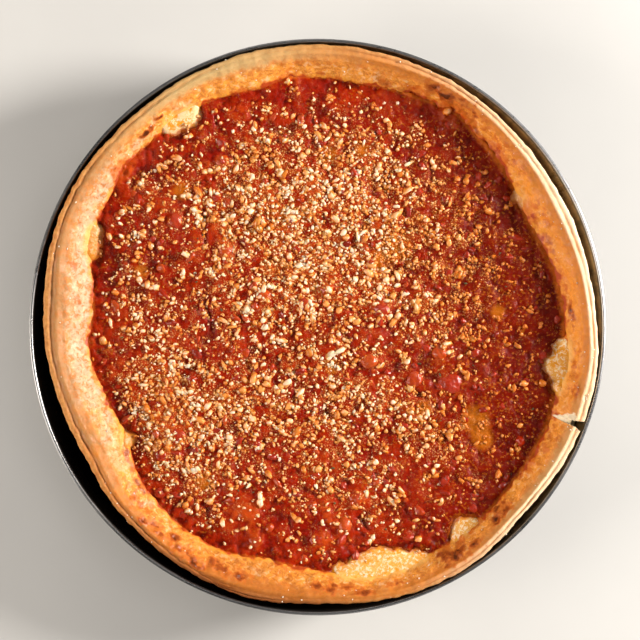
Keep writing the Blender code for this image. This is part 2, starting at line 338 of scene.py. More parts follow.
class Outline:
    """A radius or a height that goes smoothly round the pizza, from one value for each side of a solid."""

    def __init__(self, angles, values):
        self.angles, self.values = np.asarray(angles), np.asarray(values)

    def at(self, angle):
        count = len(self.angles)
        angle = np.asarray(angle) % 360
        first = np.searchsorted(self.angles, angle, side="right") - 1
        span = (self.angles[(first + 1) % count] - self.angles[first]) % 360
        t = ((angle - self.angles[first]) % 360) / span
        p0, p1, p2, p3 = (self.values[(first + i) % count] for i in (-1, 0, 1, 2))
        return p1 + 0.5 * t * (p2 - p0 + t * (2 * p0 - 5 * p1 + 4 * p2 - p3 + t * (3 * (p1 - p2) + p3 - p0)))


def read_outline(node, pick, sides=80):
    """pick(radii, heights) chooses one value from a solid's points at each of its sides."""
    points = mesh_points(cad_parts[node].data)
    angle, radius = polar(points[:, 0], points[:, 1])
    angles, values = [], []
    for side in range(sides):
        middle = 360 * side / sides
        near = (np.abs(angle_from(middle, angle)) < 0.02) & (radius > 20 * MM)
        value = pick(radius[near], points[near, 2]) if near.any() else None
        if value is not None:
            angles.append(middle)
            values.append(value)
    return Outline(angles, values)


def foot_of_slope(radii, heights):
    at_foot = np.abs(heights - FOOT_HEIGHT) < 0.15 * MM
    return radii[at_foot].min() if at_foot.any() else None


crust_edge = read_outline("crust", lambda radii, heights: radii.max())
crust_crest = read_outline("crust", lambda radii, heights: heights.max())
slope_foot = read_outline("crust", foot_of_slope)
sauce_edge = read_outline("sauce", lambda radii, heights: radii.max())


def patch_depth(angle):
    """How far melted cheese shows between the crust and the sauce."""
    return np.maximum(slope_foot.at(angle) - sauce_edge.at(angle) - 1.5 * MM, 0)


def lump_places():
    """The node, the middle and the half lengths of each tomato lump."""
    places = []
    for node in sorted(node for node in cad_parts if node.startswith("tomato_chunk")):
        low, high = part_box(node)
        places.append((node, (Vector(low) + Vector(high)) / 2, (Vector(high) - Vector(low)) / 2))
    return places


LUMPS = lump_places()


# ---- heights


def swell_height(x, y):
    """The broad shape of the sauce's top, as its solid has it."""
    height = np.full(x.shape, SAUCE_HEIGHT)
    for length, size in SWELLS:
        points = in_three(x, y, size).reshape(-1, 3) / length
        height += size * np.array([noise.noise(Vector(p)) for p in points]).reshape(x.shape)
    return height


def crease_depth(x, y):
    depth = np.zeros(x.shape)
    for x0, y0, x1, y1, deep in CREASES:
        start, end = np.array([x0, y0]) * MM, np.array([x1, y1]) * MM
        along = end - start
        t = np.clip(((x - start[0]) * along[0] + (y - start[1]) * along[1]) / (along @ along), 0, 1)
        away = np.hypot(x - start[0] - t * along[0], y - start[1] - t * along[1])
        depth += deep * MM * np.exp(-((away / (1.3 * MM)) ** 2)) * np.sin(np.pi * (0.12 + 0.76 * t))
    return depth


def sauce_top(x, y):
    """The height of the sauce's pulpy top: lumps of three sizes, creases, a swelling over each piece of
    tomato, and an edge that falls away where cheese shows and climbs where sauce is smeared on the crust."""
    points = in_three(x, y)
    angle, radius = polar(x, y)
    moved_x, moved_y = (at + 2.2 * MM * smooth_noise(points, 7 * MM, seed) for at, seed in ((x, 3), (y, 4)))
    height = swell_height(x, y) - 0.9 * MM
    height += 0.75 * MM * smooth_noise(points, 13 * MM, 5)
    height += 1.00 * MM * pebbles(moved_x, moved_y, 7.5 * MM, 6)
    height += 0.62 * MM * pebbles(moved_x, moved_y, 3.6 * MM, 7)
    height += 0.34 * MM * rough_noise(points, 2.4 * MM, 2, 8)
    height -= crease_depth(x, y)
    for _, middle, half in LUMPS:
        away = np.hypot(x - middle.x, y - middle.y) / (0.5 * (half.x + half.y))
        height += 1.3 * MM * np.exp(-((away / 1.25) ** 2))
    ragged = 2.2 * smooth_noise(points, 6 * MM, 9) + 1.5 * smooth_noise(points, 2.4 * MM, 11)
    inside = sauce_edge.at(angle) - radius + MM * ragged
    open_edge = smoothstep(0.6 * MM, 2.0 * MM, patch_depth(angle))
    height -= open_edge * 2.8 * MM * smoothstep(4.0 * MM, -2.0 * MM, inside)
    climb = sum(up * MM * arc_window(angle, middle, wide) for middle, wide, up in SAUCE_SMEARS)
    height += climb * smoothstep(5 * MM, -2 * MM, inside)
    uneven = 0.7 * MM * smooth_noise(points, 4 * MM, 10)
    return height + (1 - open_edge) * uneven * smoothstep(6 * MM, 0, inside)


# ---- materials


class Paint:
    """A node tree under a Principled shader, with short names for the nodes that the materials use."""

    def __init__(self, name):
        self.material = bpy.data.materials.new(name)
        self.material.use_nodes = True
        self.tree = self.material.node_tree
        self.shader = self.tree.nodes["Principled BSDF"]
        self.place = self.tree.nodes.new("ShaderNodeTexCoord").outputs["Object"]

    def join(self, source, socket):
        """Links source into socket, or sets the socket to a constant."""
        if hasattr(source, "is_output"):
            self.tree.links.new(source, socket)
        elif isinstance(source, tuple) and len(source) == 3 and socket.type == "RGBA":
            socket.default_value = (*source, 1.0)
        else:
            socket.default_value = source

    def node(self, kind, output, inputs, **settings):
        """One of a node's outputs, with its inputs joined by their names or numbers."""
        made = self.tree.nodes.new(kind)
        for title, value in settings.items():
            setattr(made, title, value)
        for title, source in inputs.items():
            self.join(source, made.inputs[title])
        return made.outputs[output]

    def noise(self, length, detail=4.0, roughness=0.6, distortion=0.0, place=None):
        inputs = {"Scale": 1 / length, "Detail": detail, "Roughness": roughness, "Distortion": distortion}
        return self.node("ShaderNodeTexNoise", "Fac", {"Vector": place or self.place, **inputs})

    def cells(self, length):
        """How far each place is from the middle of the nearest cell."""
        return self.node("ShaderNodeTexVoronoi", "Distance", {"Vector": self.place, "Scale": 1 / length})

    def stretched(self, *scales):
        return self.node("ShaderNodeVectorMath", "Vector", {0: self.place, 1: scales}, operation="MULTIPLY")

    def number(self, title):
        """A value that the mesh gives for each of its points."""
        return self.node("ShaderNodeAttribute", "Fac", {}, attribute_name=title)

    def between(self, source, low, high, start=0.0, end=1.0):
        """source, spread so that low gives start and high gives end, smoothly."""
        inputs = {"Value": source, "From Min": low, "From Max": high, "To Min": start, "To Max": end}
        return self.node("ShaderNodeMapRange", "Result", inputs, interpolation_type="SMOOTHSTEP")

    def math(self, operation, first, second):
        return self.node("ShaderNodeMath", "Value", {0: first, 1: second}, operation=operation)

    def plus(self, first, second):
        return self.math("ADD", first, second)

    def times(self, first, second):
        return self.math("MULTIPLY", first, second)

    def uneven(self, title, pattern, amount):
        """A point's own value, made uneven by a pattern that goes from 0 to 1."""
        return self.plus(self.number(title), self.times(self.math("SUBTRACT", pattern, 0.5), amount))

    def mix(self, amount, first, second, blend="MIX"):
        inputs = {0: amount, 6: first, 7: second}
        return self.node("ShaderNodeMix", 2, inputs, data_type="RGBA", blend_type=blend)

    def layers(self, colour, *layers):
        """Lays tints over a colour. Each shows as its source goes from low to high, up to its strength."""
        for tint, source, low, high, strength in layers:
            colour = self.mix(self.between(source, low, high, 0.0, strength), colour, tint)
        return colour

    def bump(self, height, distance, strength=1.0, under=None):
        inputs = {"Height": height, "Distance": distance, "Strength": strength}
        if under:
            inputs["Normal"] = under
        return self.node("ShaderNodeBump", "Normal", inputs)

    def finish(self, colour, rough, relief=None, soft=(), **constants):
        """Joins what the shader shows and gives the material. soft is the weight, the reach of each colour
        and the depth of light under the surface."""
        self.join(colour, self.shader.inputs["Base Color"])
        self.join(rough, self.shader.inputs["Roughness"])
        if relief:
            self.join(relief, self.shader.inputs["Normal"])
        constants.update(zip(("Subsurface_Weight", "Subsurface_Radius", "Subsurface_Scale"), soft))
        for title, value in constants.items():
            self.shader.inputs[title.replace("_", " ")].default_value = value
        return self.material


def pan_paint():
    """Black baked-on coat over steel: smoky patches, fine scratches, dried oil, a painted reflection of the
    lit crust on the upper inner wall, and bare metal on the rim, painted lighter on the right as a
    highlight.
    """
    paint = Paint("pan_black_coat")
    smoke = paint.noise(45 * MM, 5, 0.6)
    specks = paint.noise(1.2 * MM, 3, 0.7)
    scratches = paint.noise(9 * MM, 6, 0.75, 0.4, paint.stretched(1.0, 14.0, 6.0))
    dark = paint.mix(smoke, (0.0065, 0.0060, 0.0058), (0.022, 0.020, 0.018))
    oily = paint.between(paint.noise(22 * MM, 4, 0.65, 1.2), 0.56, 0.72)
    dark = paint.mix(paint.times(oily, 0.55), dark, (0.034, 0.019, 0.009))
    streaks = paint.noise(6 * MM, 4, 0.6, 0.2, paint.stretched(1.0, 1.0, 0.12))
    # Painted reflection: pale brown streaks on the upper inner wall, on the right side, standing in for the
    # lit crust seen in the steel; no metal shows there.
    painted_reflection = paint.times(paint.number("painted_reflection"), paint.between(streaks, 0.30, 0.62, 0.45, 1.0))
    dark = paint.mix(painted_reflection, dark, (0.80, 0.60, 0.32))
    worn = paint.times(paint.number("rim"), paint.between(specks, 0.42, 0.60, 0.82, 1.0))
    # Painted highlight: the bare metal of the rim is painted lighter on the right, where the key light
    # falls.
    rim_with_painted_highlight = paint.mix(paint.number("right"), (0.24, 0.24, 0.245), (0.50, 0.51, 0.54))
    metal = paint.times(paint.math("SUBTRACT", 1.0, painted_reflection), paint.between(worn, 0.0, 1.0, 0.55, 0.95))
    paint.join(metal, paint.shader.inputs["Metallic"])
    rough = paint.between(paint.plus(smoke, paint.times(scratches, 0.6)), 0.5, 1.1, 0.20, 0.46)
    return paint.finish(
        paint.mix(worn, dark, rim_with_painted_highlight), paint.mix(oily, rough, (0.16, 0.16, 0.16)),
        paint.bump(specks, 0.03 * MM, 0.5, paint.bump(scratches, 0.05 * MM, 0.5)),
        Coat_Weight=0.25, Coat_Roughness=0.12,
    )


def dough_colour(paint):
    """Cream on the slope, golden in patches, tan on the ridges. With painted light and shade: cream on the
    lit left and deep orange on the shaded right, dark painted shade in the groove and on the near side of
    the rim, and a pale painted highlight on the right of the rim.
    """
    broad = paint.noise(13 * MM, 4, 0.6, 0.6)
    fine = paint.noise(3.0 * MM, 5, 0.65, 0.3)
    streaks = paint.noise(2.6 * MM, 4, 0.6, 0.8)
    share, bake_and_painted_light = paint.uneven("share", fine, 0.30), paint.uneven("bake_and_painted_light", broad, 2.4)
    fair, front_painted_shade, right_painted_light = paint.number("fair"), paint.number("front_painted_shade"), paint.number("right_painted_light")
    # The dough's base tone: browning that varies at random, plus painted light by angle, cream on the lit
    # left and orange elsewhere, deepest on the shaded right.
    colour = paint.layers(
        paint.mix(paint.between(bake_and_painted_light, 0.10, 0.95), (0.62, 0.400, 0.246), (0.86, 0.345, 0.050)),
        ((0.58, 0.190, 0.034), streaks, 0.50, 0.62, 0.88),
        ((0.90, 0.62, 0.36), streaks, 0.47, 0.35, 0.60),
    )
    # Painted shade: the right slope, facing away from the key light, is tinted deep orange.
    colour = paint.mix(paint.times(right_painted_light, 0.62), colour, (0.78, 0.255, 0.016))
    mottled = paint.times(paint.between(share, 0.30, 0.50), paint.between(share, 0.72, 0.50))
    mottled = paint.times(mottled, paint.between(fine, 0.44, 0.56, 0.0, 0.90))
    colour = paint.mix(mottled, colour, (0.68, 0.222, 0.040))
    # The ridges' tan follows the same painted light: darker orange away from the lit left, where the ridges
    # face away from the light.
    tan = paint.mix(paint.between(bake_and_painted_light, 0.20, 1.0), (0.43, 0.200, 0.062), (0.62, 0.205, 0.028))
    tan = paint.layers(tan, ((0.47, 0.155, 0.030), fine, 0.40, 0.66, 0.7))
    # Fair ridge and lip: the dough's own paler tone at the top, and at the lower right a carrying on of the
    # rim's painted highlight.
    tan = paint.mix(fair, tan, (0.57, 0.410, 0.185))
    lip = paint.mix(paint.between(fine, 0.35, 0.65), (0.66, 0.310, 0.085), (0.48, 0.165, 0.032))
    lip = paint.mix(paint.times(fair, 0.7), lip, (0.58, 0.390, 0.165))
    colour = paint.layers(colour, (tan, share, 0.58, 0.36, 0.90), (lip, share, 0.17, 0.09, 0.85))
    # Painted highlight: the rim's outer part is painted pale on the right, where it faces the key light.
    colour = paint.mix(paint.times(paint.number("pale"), 0.92), colour, (0.95, 0.74, 0.50))
    # Painted shade on the near side of the rim: all of it darkened, its outer edge darker still.
    colour = paint.mix(front_painted_shade, colour, (0.80, 0.72, 0.64), "MULTIPLY")
    front_edge_painted_shade = paint.times(front_painted_shade, paint.between(share, 0.30, 0.06, 0.0, 0.9))
    colour = paint.mix(front_edge_painted_shade, colour, (0.20, 0.050, 0.007))
    colour = paint.layers(colour, ((0.80, 0.32, 0.028), share, 0.86, 0.96, 0.8))
    melted = paint.times(paint.number("melted"), paint.between(share, 0.70, 0.92))
    colour = paint.mix(melted, colour, (0.86, 0.46, 0.120))
    # Painted shade in the groove and the flaky gaps: dark on the left, lighter orange on the right.
    groove_painted_shade = paint.mix(right_painted_light, (0.42, 0.150, 0.035), (0.80, 0.27, 0.045))
    colour = paint.mix(paint.times(paint.number("groove"), 0.85), colour, groove_painted_shade)
    return colour, broad, fine


def crust_paint():
    """Baked dough: browned spots, sauce stains, torn white crumb in the split, specks of flour."""
    paint = Paint("baked_dough")
    colour, broad, fine = dough_colour(paint)
    grit = paint.noise(1.1 * MM, 4, 0.7)
    toast, stain = paint.uneven("toast", fine, 1.3), paint.uneven("stain", fine, 1.2)
    colour = paint.layers(
        colour,
        ((0.56, 0.145, 0.020), toast, 0.20, 0.50, 0.90),
        ((0.32, 0.064, 0.010), toast, 0.48, 0.82, 0.95),
        ((0.085, 0.018, 0.005), toast, 0.90, 1.20, 0.92),
    )
    freckle = paint.between(paint.cells(5.5 * MM), 0.20, 0.06, 0.0, 0.6)
    freckle = paint.times(freckle, paint.between(broad, 0.45, 0.58))
    colour = paint.layers(
        paint.mix(freckle, colour, (0.50, 0.165, 0.035)),
        ((0.62, 0.140, 0.012), stain, 0.16, 0.55, 0.80),
        ((0.40, 0.040, 0.003), stain, 0.55, 0.90, 0.92),
    )
    crumb = paint.mix(grit, (0.95, 0.86, 0.68), (0.82, 0.66, 0.42))
    colour = paint.mix(paint.number("torn"), colour, crumb)
    flour = paint.between(paint.cells(4.2 * MM), 0.075, 0.045, 0.0, 0.8)
    flour = paint.times(flour, paint.between(broad, 0.52, 0.60))
    oily = paint.plus(paint.noise(7 * MM, 3, 0.6, 0.5), paint.times(toast, 0.25))
    return paint.finish(
        paint.mix(flour, colour, (0.93, 0.90, 0.84)), paint.between(oily, 0.45, 0.70, 0.62, 0.30),
        paint.bump(grit, 0.20 * MM, 0.8, paint.bump(fine, 0.6 * MM, 0.6)),
        (0.10, (0.9, 0.45, 0.18), 1.6 * MM), Specular_IOR_Level=0.24,
    )


def cheese_paint():
    """Melted cheese: cream, with amber oil lying on it, reddened where it meets the sauce."""
    paint = Paint("melted_cheese")
    broad = paint.noise(7 * MM, 4, 0.6, 0.8)
    fine = paint.noise(1.8 * MM, 4, 0.65, 0.4)
    colour = paint.layers(
        paint.mix(paint.between(broad, 0.38, 0.60), (0.88, 0.46, 0.120), (0.82, 0.32, 0.018)),
        ((0.95, 0.78, 0.54), fine, 0.51, 0.59, 0.85),
        ((0.70, 0.24, 0.02), fine, 0.42, 0.28, 0.5),
    )
    colour = paint.mix(paint.times(paint.number("amber"), 0.9), colour, (0.60, 0.215, 0.020))
    drape = paint.times(paint.number("cream"), paint.between(broad, 0.54, 0.42, 0.0, 0.9))
    colour = paint.mix(drape, colour, (0.90, 0.66, 0.37))
    colour = paint.layers(colour, ((0.55, 0.11, 0.010), paint.uneven("stain", fine, 1.6), 0.25, 0.75, 0.8))
    return paint.finish(
        colour, paint.between(fine, 0.35, 0.65, 0.16, 0.40), paint.bump(fine, 0.50 * MM, 0.8),
        (0.25, (1.0, 0.5, 0.15), 2.0 * MM), Specular_IOR_Level=0.35,
    )


def sauce_colour(paint):
    """Deep red, with painted light on the pulp's tops and painted shade in its hollows, a painted shadow
    darkening one side, orange where oil lies, and dusted with the finest gratings."""
    broad = paint.noise(20 * MM, 4, 0.6, 0.5)
    fine = paint.noise(1.9 * MM, 5, 0.65, 0.6)
    raised, oil, thin_and_painted_light = (
        paint.uneven(title, fine, amount) for title, amount in (("raised", 0.9), ("oil", 0.5), ("thin_and_painted_light", 1.1))
    )
    place = paint.plus(paint.number("dusted"), paint.times(paint.noise(5 * MM, 3, 0.6), 1.2))
    colour = paint.layers(
        paint.mix(paint.between(broad, 0.38, 0.64), (0.27, 0.0068, 0.0005), (0.38, 0.0200, 0.0010)),
        # painted light: brighter on the pulp's tops
        ((0.55, 0.068, 0.006), raised, 0.50, 0.95, 0.75),
    )
    # Painted shadow of the crust: the sauce is darker towards one side.
    colour = paint.mix(paint.times(paint.number("baked"), 0.72), colour, (0.14, 0.0050, 0.0003))
    colour = paint.layers(
        colour,
        # painted shade: dark in the pulp's hollows
        ((0.11, 0.0035, 0.0004), raised, 0.42, 0.05, 0.8),
        ((0.50, 0.135, 0.005), oil, 0.30, 0.85, 0.72),
        # orange where the sauce lies shallow; on the right this band is widened as painted light in the
        # crust's shadow
        ((0.58, 0.135, 0.012), thin_and_painted_light, 0.25, 0.95, 0.80),
        ((0.64, 0.105, 0.012), place, 1.00, 1.60, 0.42),
    )
    # Olive specks come more often on the painted-shadow side, where grains show olive in shade.
    patches = paint.plus(paint.noise(8 * MM, 3, 0.6), paint.times(paint.number("baked"), 0.14))
    olive = paint.between(paint.noise(1.5 * MM, 2, 0.5), 0.55, 0.64)
    olive = paint.times(olive, paint.between(patches, 0.51, 0.62, 0.0, 0.68))
    colour = paint.mix(olive, colour, (0.42, 0.105, 0.006))
    dust = paint.between(paint.cells(1.35 * MM), 0.42, 0.18)
    specks = paint.between(paint.cells(0.80 * MM), 0.38, 0.20)
    dust = paint.math("MAXIMUM", dust, paint.times(specks, 0.7))
    dust = paint.times(dust, paint.between(place, 0.66, 1.20, 0.0, 0.85))
    gold = paint.mix(paint.noise(2.6 * MM, 2), (0.66, 0.23, 0.030), (0.80, 0.46, 0.17))
    return paint.mix(dust, colour, gold), fine, dust


def sauce_paint():
    """Cooked tomato sauce, wet and pulpy, with the finest gratings raised on it."""
    paint = Paint("tomato_sauce")
    colour, fine, dust = sauce_colour(paint)
    return paint.finish(
        colour, paint.between(fine, 0.32, 0.68, 0.05, 0.20),
        paint.bump(dust, 0.30 * MM, 0.8, paint.bump(fine, 0.70 * MM, 0.85)),
        (0.12, (1.0, 0.16, 0.06), 1.6 * MM), Specular_IOR_Level=0.13,
    )


def tomato_paint():
    """Soft tomato flesh: dark red to orange, wet."""
    paint = Paint("cooked_tomato")
    broad = paint.noise(6 * MM, 4, 0.6, 0.8)
    fine = paint.noise(1.6 * MM, 4, 0.65)
    tone = paint.uneven("tone", broad, 0.8)
    colour = paint.layers(
        paint.mix(paint.between(tone, 0.2, 0.75), (0.35, 0.018, 0.0016), (0.50, 0.066, 0.005)),
        ((0.70, 0.22, 0.03), tone, 0.80, 1.05, 0.7),
        ((0.17, 0.0070, 0.0006), tone, 0.16, -0.10, 0.9),
    )
    return paint.finish(
        colour, paint.between(fine, 0.35, 0.65, 0.06, 0.22), paint.bump(fine, 0.55 * MM, 0.8),
        (0.18, (1.0, 0.22, 0.08), 2.0 * MM), Specular_IOR_Level=0.50,
    )


def grated_paint():
    """Grated hard cheese: each grain has its own tone, from pale through warm to baked; the tones also carry
    painted shade.
    """
    paint = Paint("grated_cheese")
    fine = paint.noise(0.9 * MM, 4, 0.65)
    tone = paint.uneven("tone", fine, 0.45)
    colour = paint.mix(paint.between(tone, 0.15, 0.62), (0.98, 0.76, 0.55), (0.82, 0.33, 0.075))
    colour = paint.layers(colour, ((0.60, 0.165, 0.012), tone, 0.62, 1.0, 1.0))
    return paint.finish(
        colour, paint.between(fine, 0.35, 0.65, 0.16, 0.34), paint.bump(fine, 0.18 * MM, 0.8),
        (0.45, (1.0, 0.55, 0.22), 1.2 * MM),
    )


def dry_paint(name, first, second, length, detail, roughness, rough):
    """Something small and dry, in two colours mixed by a fine pattern."""
    paint = Paint(name)
    pattern = paint.noise(length, detail, roughness)
    return paint.finish(
        paint.mix(pattern, first, second), paint.between(pattern, 0.3, 0.7, *rough),
        paint.bump(pattern, 0.08 * MM, 0.6),
    )


def herb_paint():
    return dry_paint(
        "dried_herb", (0.035, 0.050, 0.010), (0.10, 0.085, 0.020), 0.5 * MM, 4, 0.7, (0.45, 0.75)
    )


def flour_paint():
    return dry_paint("flour", (0.90, 0.84, 0.74), (0.80, 0.66, 0.48), 0.4 * MM, 3, 0.6, (0.6, 0.8))


# ---- pan


def bend(radius, height, size, start, end, steps):
    """Points on an arc about (radius, height)."""
    turns = np.linspace(start, end, steps)
    return np.stack([radius + size * np.cos(turns), height + size * np.sin(turns)], axis=-1)


def straight(start, end, steps):
    """Points between two others, without the two."""
    return start + (end - start) * np.linspace(0, 1, steps + 2)[1:-1, None]


def make_pan():
    """Pressed steel with a rolled rim, turned from the solid's own sizes."""
    _, (rim_radius, _, top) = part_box("pan")
    corner_radius, corner_height = rim_radius - 2 * BEAD - TAPER - CORNER, SHEET + CORNER
    lean = math.atan2(TAPER, top - 2 * BEAD - corner_height)
    quarter = math.pi / 2
    outer_corner = bend(corner_radius, corner_height, CORNER + SHEET, -quarter, -lean, 9)
    rolled = bend(rim_radius - BEAD, top - BEAD, BEAD, -quarter, 2 * quarter, 17)
    inner_corner = bend(corner_radius, corner_height, CORNER, -lean, -quarter, 9)
    middle, floor_middle = np.array([4 * MM, 0]), np.array([4 * MM, SHEET])
    outside = [middle[None], straight(middle, outer_corner[0], 8), outer_corner,
               straight(outer_corner[-1], rolled[0], 12), rolled]
    inside = [straight(rolled[-1], inner_corner[0], 14), inner_corner,
              straight(inner_corner[-1], floor_middle, 6), floor_middle[None]]
    profile = np.vstack(outside + inside)
    angles = np.arange(PAN_SIDES) * 360 / PAN_SIDES
    radius, height = (np.tile(profile[:, i], (PAN_SIDES, 1)) for i in (0, 1))
    is_inside = np.arange(len(profile)) >= sum(map(len, outside))
    high_up = is_inside * smoothstep(top - 34 * MM, top - 20 * MM, height)
    numbers = {
        "rim": smoothstep(top - 1.2 * MM, top - 0.2 * MM, height),
        # painted reflection of the lit crust, on the upper inner wall
        "painted_reflection": high_up * np.sqrt(arc_window(angles, *REFLECTION_SIDE))[:, None],
        # where the bare rim is painted lighter as a highlight
        "right": arc_window(angles, *RIGHT_SIDE)[:, None],
    }
    pan = turned_object("deep_pan", radius, height, angles, pan_paint(), numbers)
    finish_piece(pan, "pan_steel", "pan")


# ---- crust


def crust_columns():
    """The angles at which the crust is cut, closer together at the split."""
    even = np.arange(CRUST_COLUMNS) * 360 / CRUST_COLUMNS
    close = SPLIT_ANGLE + np.linspace(-2.0, 2.0, SPLIT_COLUMNS)
    return np.sort(np.concatenate([even[np.abs(even - SPLIT_ANGLE) > 2.02], close]))


def ring_noise(angle, length, seed):
    """Smooth noise round the rim, with features about length long."""
    around = np.radians(angle)
    return smooth_noise(in_three(np.cos(around), np.sin(around)) * RIM_RADIUS, length, seed)


def merged_ridges(angle):
    return np.maximum(*(arc_window(angle, *fade) for fade in GROOVE_FADES))


def crust_stations(angle):
    """The stations of the crust's profile at each angle, from its underside round to its hidden inside."""
    edge = crust_edge.at(angle) - 0.35 * MM + 0.25 * MM * ring_noise(angle, 9 * MM, 20)
    edge += 0.22 * MM * ring_noise(angle, 2.8 * MM, 25)
    foot, crest = slope_foot.at(angle), crust_crest.at(angle) - 0.25 * MM
    fall = crest - FOOT_HEIGHT
    groove = 0.75 * MM + 0.35 * MM * ring_noise(angle, 18 * MM, 21)
    groove *= (1 - 0.75 * merged_ridges(angle)) * (1 - 0.70 * arc_window(angle, *RIGHT_SIDE))
    drift = 0.022 * ring_noise(angle, 35 * MM, 23)
    base_edge = crust_edge.at(angle) - BASE_INSET
    below = (  # how far out from the base's edge, and the height
        (-40, 1.55), (-9, 1.55), (-2.6, 4.2), (0, 10), (1.5, 20), (3.0, 30), (4.6, 40), (5.7, 46),
    )
    top = (  # the share of the way in, and how far below the crest
        (0.000, 0.150 * fall), (0.020, 0.040 * fall), (0.060, 0.004 * fall), (0.100, 0.0 * fall),
        (0.125, groove * 0.40), (0.155, groove), (0.185, groove * 0.85), (0.240, 0.0 * fall),
        (0.300, 0.010 * fall), (0.345, 0.070 * fall), (0.380, 0.115 * fall), (0.420, 0.165 * fall),
        (0.480, 0.23 * fall), (0.560, 0.36 * fall), (0.680, 0.55 * fall), (0.800, 0.73 * fall),
        (0.900, 0.86 * fall), (0.975, 0.97 * fall), (1.030, 1.15 * fall),
    )
    hidden = ((3, 33), (5, 24))  # how far in from the foot, and the height
    stations = [(base_edge + out * MM, np.full(angle.shape, height * MM)) for out, height in below]
    for share, drop in top:
        moved = share + drift * math.exp(-(((share - 0.17) / 0.12) ** 2))
        stations.append((edge + (foot - edge) * moved, crest - drop))
    stations += [(foot - inward * MM, np.full(angle.shape, height * MM)) for inward, height in hidden]
    return np.stack([np.stack(pair, axis=-1) for pair in stations], axis=1)


def crust_rows():
    """How finely each stretch of the profile is cut: coarse below, fine over the rim and the slope."""
    below = np.linspace(0, 8, 17)[:-1]
    rim = np.linspace(8, 19, 30)[:-1]
    slope = np.linspace(19, 26, 32)[:-1]
    return np.concatenate([below, rim, slope, [26, 27, 28]])


def open_split(angles, radius, height):
    """Takes the wedge of the split out of the rim: what stood in it is laid along the wedge's bottom and
    back. Returns how much of each point is torn."""
    torn = np.zeros_like(radius)
    edge = crust_edge.at(SPLIT_ANGLE)
    for column in np.nonzero(np.abs(angles - SPLIT_ANGLE) < 1.9)[0]:
        aside = abs(math.radians(angles[column] - SPLIT_ANGLE)) * edge
        ragged = 0.35 * MM * float(ring_noise(np.array([angles[column]]), 0.9 * MM, 30)[0])
        reach = float(np.interp(-(aside + ragged), -SPLIT_HALF_WIDTH, SPLIT_REACH))
        inward = edge - radius[column]
        bottom = np.interp(inward, SPLIT_REACH, SPLIT_BOTTOM)
        gone = np.nonzero((inward < reach) & (height[column] > bottom))[0]
        if len(gone) < 3 or reach <= 0:
            continue
        first, last = gone[0], gone[-1]
        knots = SPLIT_REACH[(SPLIT_REACH > edge - radius[column, first]) & (SPLIT_REACH < reach)]
        path = np.array([
            (radius[column, first], height[column, first]),
            *((edge - knot, np.interp(knot, SPLIT_REACH, SPLIT_BOTTOM)) for knot in (*knots, reach)),
            (radius[column, last], height[column, last]),
        ])
        length = np.concatenate([[0], np.cumsum(np.linalg.norm(np.diff(path, axis=0), axis=1))])
        at = np.linspace(0, length[-1], len(gone))
        radius[column, gone] = np.interp(at, length, path[:, 0])
        height[column, gone] = np.interp(at, length, path[:, 1])
        torn[column, gone] = 1.0
    return torn


def torn_side(angles, radius):
    """Ragged pale crumb that lies open on one side of the split."""
    aside = np.radians(angles - SPLIT_ANGLE)[:, None] * radius
    inward = crust_edge.at(SPLIT_ANGLE) - radius
    ragged = 1.3 * MM * smooth_noise(in_three(*turned(radius, angles)), 1.7 * MM, 31)
    half = 0.5 * MM + 2.0 * MM * smoothstep(16 * MM, 6 * MM, inward)
    beside = smoothstep(0.3 * MM, -0.3 * MM, np.abs(aside - 0.8 * half) - half + ragged)
    return beside * smoothstep(4 * MM, 6.5 * MM, inward) * smoothstep(17.0 * MM, 15.0 * MM, inward)


def flaky_gap(angles, share):
    """Thin dark gaps between layers in the outer side of the rim."""
    wander = 0.014 * ring_noise(angles, 12 * MM, 24)[:, None]
    gaps = np.zeros_like(share)
    for middle, half_width, at, wide in FLAKY_GAPS:
        strength = np.sqrt(arc_window(angles, middle, half_width))[:, None]
        gaps += strength * np.exp(-(((share - at - wander) / wide) ** 2))
    return gaps


